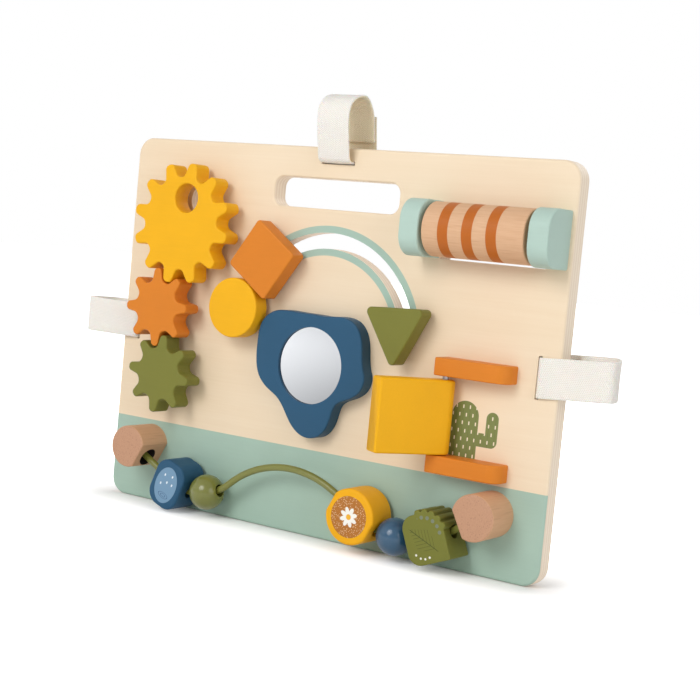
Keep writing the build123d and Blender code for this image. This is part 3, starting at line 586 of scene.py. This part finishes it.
# ---------------------------------------------------------------------------
# The beads: two turned balls and three sawn shapes, painted and then printed
# on the front: raindrops over a pond, a daisy, and a leaf.

glossy_green = paint("glossy_green", linear(113, 116, 46), strength=0.4)
glossy_blue = paint("glossy_blue", linear(36, 78, 108), strength=0.4)
for ball, finish in (("green_ball", glossy_green), ("blue_ball", glossy_blue)):
    finish.shader.inputs["Coat Weight"].default_value = 0.7
    finish.shader.inputs["Coat Roughness"].default_value = 0.12
    dress(ball, finish.material)


def printed(name, colour, centre, turn):
    """Paint ready for a print: returns the finish and the print's own x and z."""
    finish = paint(name, colour)
    own = finish.tree.nodes.new("ShaderNodeMapping")
    own.vector_type = "TEXTURE"
    own.inputs["Location"].default_value = (centre[0], 0, centre[1])
    own.inputs["Rotation"].default_value = (0, math.radians(-turn), 0)
    finish.tree.links.new(finish.vector, own.inputs["Vector"])
    axes = finish.tree.nodes.new("ShaderNodeSeparateXYZ")
    finish.tree.links.new(own.outputs["Vector"], axes.inputs[0])
    front = spot(finish.tree, finish.facing_y, -0.8, 0.1)
    ground = finish.shader.inputs["Base Color"].links[0].from_socket
    return finish, axes.outputs[0], axes.outputs[2], front, ground


def radius_from(tree, x, z, centre=(0.0, 0.0), squash=1.0):
    """Distance from a centre, with z measured squash times shorter."""
    dz = calc(tree, "DIVIDE", calc(tree, "SUBTRACT", z, centre[1]), squash)
    return slant(tree, calc(tree, "SUBTRACT", x, centre[0]), dz)


print_green = linear(115, 117, 50)
print_yellow = linear(237, 172, 21)

pebble, x, z, front, ground = printed("pebble_paint", deep_blue, (-0.10434, 0.01987), -20.6)
tree = pebble.tree
pond = spot(tree, radius_from(tree, x, z, (0.0, -0.0005), 1.42), 0.0096)
picture = tint(tree, pond, ground, linear(118, 152, 180))
for drop in ((-0.0036, 0.0062), (0.0031, 0.0078), (0.0002, 0.0018), (-0.0048, -0.0012),
             (0.0050, 0.0020)):
    wet = spot(tree, radius_from(tree, x, z, drop, 1.6), 0.00062, 0.00008)
    picture = tint(tree, wet, picture, linear(236, 240, 244))
ripple_from = radius_from(tree, x, z, (0.0008, -0.0082), 0.45)
ripple_off = calc(tree, "ABSOLUTE", calc(tree, "WRAP", ripple_from, 0.0011, -0.0011))
ripple = spot(tree, ripple_off, 0.00022, 0.00006)
ripple = calc(tree, "MULTIPLY", ripple, spot(tree, ripple_from, 0.0058))
picture = tint(tree, ripple, picture, linear(48, 78, 116))
pebble.join(tint(tree, front, ground, picture), "Base Color")
dress("pebble_bead", pebble.material)

daisy, x, z, front, ground = printed("daisy_paint", print_yellow, (0.05260, 0.02546), -26.7)
tree = daisy.tree
out = radius_from(tree, x, z)
speck = tree.nodes.new("ShaderNodeTexVoronoi")
speck.inputs["Scale"].default_value = 900.0
tree.links.new(daisy.vector, speck.inputs["Vector"])
specks = spot(tree, speck.outputs["Distance"], 0.28, 0.08)
meadow = tint(tree, specks, linear(176, 112, 50), linear(226, 196, 150))
picture = tint(tree, spot(tree, out, 0.0138), ground, meadow)
petal_turn = calc(tree, "MULTIPLY", calc(tree, "ARCTAN2", z, x), 4.0)
petal_wave = calc(tree, "ABSOLUTE", calc(tree, "COSINE", petal_turn))
petal_edge = calc(tree, "MULTIPLY_ADD", petal_wave, 0.0030, 0.0038)
petals = spot(tree, calc(tree, "SUBTRACT", out, petal_edge), 0.0)
picture = tint(tree, petals, picture, linear(245, 243, 236))
picture = tint(tree, spot(tree, out, 0.0019), picture, linear(238, 178, 52))
daisy.join(tint(tree, front, ground, picture), "Base Color")
dress("flower_bead", daisy.material)

leaf, x, z, front, ground = printed("leaf_paint", print_green, (0.11105, 0.02257), 22.0)
tree = leaf.tree
rib_off = calc(tree, "ABSOLUTE", calc(tree, "SUBTRACT", calc(tree, "ADD", x, z), -0.002))
along = calc(tree, "SUBTRACT", z, x)
taper = calc(tree, "ABSOLUTE", calc(tree, "MULTIPLY", along, 0.62))
blade = spot(tree, calc(tree, "ADD", rib_off, taper), 0.0112)
vein = calc(tree, "WRAP", calc(tree, "SUBTRACT", along, rib_off), 0.0022, -0.0022)
veins = calc(tree, "MULTIPLY", spot(tree, calc(tree, "ABSOLUTE", vein), 0.00022, 0.00008), blade)
rib_ends = spot(tree, calc(tree, "ABSOLUTE", along), 0.0165)
midrib = calc(tree, "MULTIPLY", spot(tree, rib_off, 0.00035), rib_ends)
picture = tint(tree, calc(tree, "MAXIMUM", veins, midrib), ground, linear(70, 78, 34))
# a row of grey dots follows the scalloped shoulder
shoulder_z, shoulder_radius = 0.0015, 0.0118
dot_half_turn = math.radians(10.5)
edge_from = radius_from(tree, x, z, (0.0, shoulder_z))
edge_turn = calc(tree, "ARCTAN2", calc(tree, "SUBTRACT", z, shoulder_z), x)
dot_turn = calc(tree, "WRAP", edge_turn, dot_half_turn, -dot_half_turn)
dot_off = calc(tree, "MULTIPLY", dot_turn, shoulder_radius)
dot = spot(tree, slant(tree, dot_off, calc(tree, "SUBTRACT", edge_from, shoulder_radius)), 0.00125)
shoulder = calc(tree, "MULTIPLY", calc(tree, "GREATER_THAN", edge_turn, -0.25),
                calc(tree, "LESS_THAN", edge_turn, 1.75))
picture = tint(tree, calc(tree, "MULTIPLY", dot, shoulder), picture, linear(120, 128, 108))
for dew in ((-0.0088, -0.0092), (-0.0060, -0.0118), (-0.0028, -0.0128), (0.0006, -0.0124)):
    dew_drop = spot(tree, radius_from(tree, x, z, dew), 0.00075)
    picture = tint(tree, dew_drop, picture, linear(240, 238, 228))
leaf.join(tint(tree, front, ground, picture), "Base Color")
dress("leaf_bead", leaf.material)

# ---------------------------------------------------------------------------
# The loops: inch-wide cotton webbing, woven in small herringbone. Each runs
# through its slot, folds over and closes on itself behind the board.

column_half_width = 0.0011
strand_pitch = 0.00125
board_top_z = 0.2575
top_loop_middle_z = 0.284

webbing = Finish("cotton_webbing")
tree = webbing.tree
weave = tree.nodes.new("ShaderNodeUVMap")
weave.uv_map = "weave"
weft = tree.nodes.new("ShaderNodeSeparateXYZ")
tree.links.new(weave.outputs["UV"], weft.inputs[0])
u, v = weft.outputs[0], weft.outputs[1]
rib_u = calc(tree, "ABSOLUTE", calc(tree, "WRAP", u, column_half_width, -column_half_width))
slanted = calc(tree, "ADD", v, calc(tree, "MULTIPLY", rib_u, 0.9))
strand = calc(tree, "SINE", calc(tree, "MULTIPLY", slanted, math.tau / strand_pitch))
column = calc(tree, "SINE", calc(tree, "MULTIPLY", rib_u, math.pi / column_half_width))
relief = calc(tree, "MULTIPLY_ADD", strand, 0.5, calc(tree, "MULTIPLY", column, 0.6))
lint = noise(tree, webbing.vector, 2600.0, 3.0)
relief = calc(tree, "MULTIPLY_ADD", lint, 0.35, relief)
worn = noise(tree, webbing.vector, 60.0, 2.0)
raised = calc(tree, "MULTIPLY_ADD", relief, 0.5, 0.5)
thread = tint(tree, raised, linear(214, 203, 184), linear(255, 253, 248))
thread = tint(tree, calc(tree, "MULTIPLY", worn, 0.25), thread, linear(244, 238, 226))
# painted warm shade: the inner face of the top loop is tinted darker tan, as if lying in its own
# shade
inwards = calc(tree, "SUBTRACT", top_loop_middle_z, webbing.z)
faces_in = calc(tree, "SUBTRACT", calc(tree, "MULTIPLY", webbing.facing_z, inwards),
                calc(tree, "MULTIPLY", webbing.facing_y, webbing.y))
inner_face_painted_shade = calc(tree, "MULTIPLY", calc(tree, "GREATER_THAN", faces_in, 0.0),
              calc(tree, "GREATER_THAN", webbing.z, board_top_z))
shaded_inside_thread = vector_times(tree, thread, (1.0, 0.9, 0.68))
webbing.join(tint(tree, calc(tree, "MULTIPLY", inner_face_painted_shade, 0.8), thread, shaded_inside_thread), "Base Color")
webbing.shader.inputs["Roughness"].default_value = 0.92
webbing.shader.inputs["Specular IOR Level"].default_value = 0.1
webbing.shader.inputs["Subsurface Weight"].default_value = 0.12
webbing.shader.inputs["Subsurface Scale"].default_value = 0.002
webbing.raise_by(relief, 0.0002)

strap_width = 0.0254
strap_thickness = 0.0016
strap_z = 0.1315
slot_x = 0.1655
lean_start = 0.012
slot_frames = {
    "top": (Vector((0, 0, 0.2568)), Vector((0, 0, 1)), Vector((1, 0, 0))),
    "right": (Vector((slot_x, 0, strap_z)), Vector((1, 0, 0)), Vector((0, 0, -1))),
    "left": (Vector((-slot_x, 0, strap_z)), Vector((-1, 0, 0)), Vector((0, 0, 1)))}


def route_through(points, count):
    """Even places along a smooth line near the points, with its length."""
    line = bpy.data.curves.new("route", "CURVE")
    line.dimensions = "3D"
    spline = line.splines.new("NURBS")
    spline.points.add(len(points) - 1)
    for knot, (y, out) in zip(spline.points, points):
        knot.co = (0, y, out, 1)
    spline.order_u = 4
    spline.use_endpoint_u = True
    spline.resolution_u = 24
    carrier = bpy.data.objects.new("route", line)
    bpy.context.scene.collection.objects.link(carrier)
    bpy.context.view_layer.update()
    drawn = carrier.evaluated_get(bpy.context.evaluated_depsgraph_get())
    mesh = bpy.data.meshes.new_from_object(drawn)
    fine = [v.co.copy() for v in mesh.vertices]
    bpy.data.objects.remove(carrier)
    bpy.data.curves.remove(line)
    bpy.data.meshes.remove(mesh)
    run = [0.0]
    for a, b in zip(fine, fine[1:]):
        run.append(run[-1] + (b - a).length)
    places = []
    k = 0
    for i in range(count + 1):
        want = run[-1] * i / count
        while k < len(run) - 2 and run[k + 1] < want:
            k += 1
        share = (want - run[k]) / (run[k + 1] - run[k])
        places.append(fine[k].lerp(fine[k + 1], min(max(share, 0), 1)))
    return places, run[-1]


def loop(name, node, place, points, lift=0.0, lean=0.0, rise=0.0):
    """One webbing loop: a flat strip, folded along its route and given its thickness.

    lift tips the end up, lean tips the back run forward and rise sets it higher.
    """
    origin, outward, across = slot_frames[place]
    count = 150
    stops, length = route_through([(y / 1000, out / 1000) for y, out in points], count)
    bm = bmesh.new()
    uv = bm.loops.layers.uv.new("weave")
    bmesh.ops.create_grid(bm, x_segments=8, y_segments=count, size=0.5)
    for face in bm.faces:
        for corner in face.loops:
            co = corner.vert.co
            corner[uv].uv = (co.x * strap_width, (co.y + 0.5) * length)
    for vert in bm.verts:
        side = vert.co.x * strap_width
        step = round((vert.co.y + 0.5) * count)
        flat = stops[step]
        limp = 0.00025 * math.sin(step * 0.21) * (2 * vert.co.x) ** 2
        behind = min(max(flat.y / 0.014, 0), 1)
        forward = behind * lean * max(flat.z - lean_start, 0)
        tipped = Vector((0, flat.y - forward, lift * flat.z + behind * rise))
        vert.co = origin + outward * (flat.z + limp) + across * side + tipped
    piece = settle(bm, name, "base", node, webbing.material)
    body = piece.modifiers.new("body", "SOLIDIFY")
    body.thickness = strap_thickness
    body.offset = 0
    selvedge = piece.modifiers.new("selvedge", "BEVEL")
    selvedge.width = 0.0004
    selvedge.segments = 2
    selvedge.limit_method = "ANGLE"
    selvedge.angle_limit = math.radians(50)


# each route in millimetres, as (behind the board's middle, out from the slot)
flap = [(16.5, 16.5), (16.5, 22.0), (16.5, 28.0), (16.5, 33.0)]
tail = [(13.0, 0.2), (18.2, 1.6), (19.5, 7.0), (19.5, 14.0), (19.5, 20.0), (19.5, 27.0),
        (19.5, 34.1)]
top_arch = [(15.8, 38.0), (11.5, 43.4), (2.0, 46.4), (-9.0, 45.0), (-17.2, 39.0), (-18.2, 28.0),
            (-15.6, 16.0), (-13.3, 6.0), (-12.0, 0.6), (-8.0, 0.0), (0.0, 0.0), (8.0, 0.0)]
right_arch = [(15.5, 40.0), (11.5, 45.5), (4.0, 48.6), (-3.6, 48.4), (-6.0, 43.0), (-6.6, 30.0),
              (-7.4, 20.0), (-8.6, 9.0), (-9.3, 1.2), (-7.4, 0.0), (0.0, 0.0), (8.0, 0.0)]
left_arch = [(16.3, 38.0), (13.5, 44.5), (4.0, 47.5), (-7.0, 48.3), (-13.6, 46.5), (-13.4, 38.0),
             (-12.0, 26.0), (-10.2, 12.0), (-9.3, 1.2), (-7.4, 0.0), (0.0, 0.0), (8.0, 0.0)]
top_lean = 0.17
right_lift, right_rise = 0.062, 0.002
loop("top_loop", "strap_top", "top", flap + top_arch + tail, lean=top_lean)
loop("right_loop", "strap_right", "right", flap + right_arch + tail, lift=right_lift,
     rise=right_rise)
loop("left_loop", "strap_left", "left", flap + left_arch + tail, lift=0.015)

# ---------------------------------------------------------------------------
# The closures: hook tape sewn to each loop's tail and soft tape sewn to its
# flap, pressed together behind the board.

tape = Finish("fastener_tape")
tree = tape.tree
pile = noise(tree, tape.vector, 1800.0, 4.0)
tape.join(tint(tree, pile, linear(210, 206, 196), linear(240, 238, 230)), "Base Color")
tape.shader.inputs["Roughness"].default_value = 0.85
tape.shader.inputs["Sheen Weight"].default_value = 0.3
tape.raise_by(pile, 0.0003)


tape_length, tape_width = 0.016, 0.022
tape_thickness = 0.0004
tape_out = 0.0253
soft_tape_y, hook_tape_y = 0.0175, 0.0185
nap_height = 0.00035


def patches(name, node, y, bristle):
    """Three tapes, one on each loop, with a nap of short rows on the side that grips."""
    bm = bmesh.new()
    for place, lean, rise in (("top", top_lean, 0),
                              ("right", 0, right_rise + 0.025 * right_lift),
                              ("left", 0, 0)):
        origin, outward, across = slot_frames[place]
        grown = bmesh.ops.create_grid(bm, x_segments=44, y_segments=32, size=0.5)["verts"]
        for vert in grown:
            edge = max(abs(vert.co.x), abs(vert.co.y)) > 0.47
            odd = (round(vert.co.x * 44) + round(vert.co.y * 32)) % 2
            nap = 0 if edge else bristle * (1 if odd else 0.3)
            out = tape_out + vert.co.y * tape_length
            shifted = Vector((0, y + nap - lean * (out - lean_start), rise))
            vert.co = origin + outward * out + across * vert.co.x * tape_width + shifted
    piece = settle(bm, name, "base", node, tape.material)
    body = piece.modifiers.new("body", "SOLIDIFY")
    body.thickness = tape_thickness
    body.offset = 0


patches("soft_tapes", "strap_loop_patches", soft_tape_y, nap_height)
patches("hook_tapes", "strap_hook_patches", hook_tape_y, -nap_height)

# ---------------------------------------------------------------------------
# The wood screws: zinc-plated cross-heads driven from behind into the frame,
# the bars, the blocks and the pegs, each head set flush in the board.

back_y = 0.007
short_length, long_length = 0.022, 0.035
mirror_x, mirror_z = -0.0006, 0.1183
frame_scale = 0.00068436
frame_spots = [(mirror_x + x * frame_scale, back_y, mirror_z + z * frame_scale)
               for x, z in ((-51.0, 35.0), (46.0, 35.0), (4.0, -57.5))]
bar_spots = [(x, back_y, z) for z in (0.0682, 0.1309) for x in (0.1166, 0.139)]
screws("short_cross_screws", "base", "wood_screws_short", short_length, frame_spots + bar_spots)

roller_z, block_spread = 0.2178, 0.0125
peg_x, peg_z, peg_offset = 0.1434, 0.0415, 0.0055
block_spots = [(x, back_y, roller_z + dz) for x in (0.079, 0.1702)
               for dz in (block_spread, -block_spread)]
peg_spots = [(side * (peg_x + peg_offset * wire_cos), back_y, peg_z + peg_offset * wire_sin)
             for side in (-1, 1)]
screws("long_cross_screws", "base", "wood_screws_long", long_length, block_spots + peg_spots)

# ---------------------------------------------------------------------------
# The studio: a pale floor that runs out to white, one large soft lamp in front
# and a little to the left, weaker ones to either side and behind, and a small
# bright one for the gloss.

floor_reach = 6
floor_z = -0.0002
foot_end_x = 0.17
air_on_things = 0.4

floor_bm = bmesh.new()
bmesh.ops.create_grid(floor_bm, x_segments=1, y_segments=1, size=floor_reach)
bmesh.ops.translate(floor_bm, verts=floor_bm.verts, vec=(0, 0, floor_z))
floor_mesh = bpy.data.meshes.new("floor")
floor_bm.to_mesh(floor_mesh)
floor_bm.free()
floor = bpy.data.objects.new("floor", floor_mesh)
bpy.context.scene.collection.objects.link(floor)


def seen_directly(tree):
    """1 for the camera and for mirror rays, 0 for the light that falls on things."""
    path = tree.nodes.new("ShaderNodeLightPath")
    mirrored = calc(tree, "MAXIMUM", path.outputs["Is Glossy Ray"],
                    path.outputs["Is Transmission Ray"])
    return calc(tree, "MAXIMUM", path.outputs["Is Camera Ray"], mirrored)


# the paper glows more and more away from the board's foot, out to pure white
paper = bpy.data.materials.new("white_paper")
paper.use_nodes = True
tree = paper.node_tree
sheet = tree.nodes["Principled BSDF"]
sheet.inputs["Base Color"].default_value = (0.9, 0.9, 0.9, 1)
sheet.inputs["Roughness"].default_value = 0.9
seen = seen_directly(tree)
sheet.inputs["Emission Color"].default_value = (1, 1, 1, 1)
ground = tree.nodes.new("ShaderNodeTexCoord")
floor_axes = tree.nodes.new("ShaderNodeSeparateXYZ")
tree.links.new(ground.outputs["Object"], floor_axes.inputs[0])
from_foot = capsule(tree, floor_axes.outputs[0], floor_axes.outputs[1],
                    (-foot_end_x, 0.0), (foot_end_x, 0.0))
glow = calc(tree, "MAXIMUM", calc(tree, "MULTIPLY_ADD", from_foot, 14.0, -0.05), 0.05)
glow = calc(tree, "MINIMUM", glow, 1.0)
tree.links.new(calc(tree, "MULTIPLY", seen, glow), sheet.inputs["Emission Strength"])
floor_mesh.materials.append(paper)

world = bpy.data.worlds.new("studio")
bpy.context.scene.world = world
world.use_nodes = True
tree = world.node_tree
air = tree.nodes["Background"]
air.inputs["Color"].default_value = (1, 1, 1, 1)
seen = seen_directly(tree)
tree.links.new(calc(tree, "MULTIPLY_ADD", seen, 1 - air_on_things, air_on_things),
               air.inputs["Strength"])

aim_point = Vector((0, 0, 0.12))


def lamp(name, place, size, power):
    """A round soft lamp that looks at the middle of the board."""
    data = bpy.data.lights.new(name, "AREA")
    data.shape = "DISK"
    data.size = size
    data.energy = power
    holder = bpy.data.objects.new(name, data)
    bpy.context.scene.collection.objects.link(holder)
    aim = aim_point - Vector(place)
    holder.location = place
    holder.rotation_euler = aim.to_track_quat("-Z", "Y").to_euler()


lamp("key", (-0.25, -1.9, 1.15), 1.3, 21.0)
lamp("fill", (1.7, -0.7, 0.7), 1.2, 8.0)
lamp("left_fill", (-1.5, -1.2, 0.9), 1.4, 2.0)
lamp("spark", (-0.25, -1.7, 1.2), 0.22, 1.6)
lamp("behind", (0.3, 1.9, 1.3), 1.3, 9.0)

right = Vector((0.82766, 0.55319, 0.09461))
down = Vector((0.11976, -0.00939, -0.99276))
ahead = Vector((-0.54830, 0.83300, -0.07402))
camera_place = (0.56144, -0.82349, 0.20445)
camera_data = bpy.data.cameras.new("camera")
camera_data.lens = 74.71
camera_data.sensor_width = 36.0
camera = bpy.data.objects.new("camera", camera_data)
bpy.context.scene.collection.objects.link(camera)
camera.matrix_world = (Matrix.Translation(camera_place)
                       @ Matrix((right, -down, -ahead)).transposed().to_4x4())
bpy.context.scene.camera = camera
bpy.context.scene.view_settings.view_transform = "Standard"
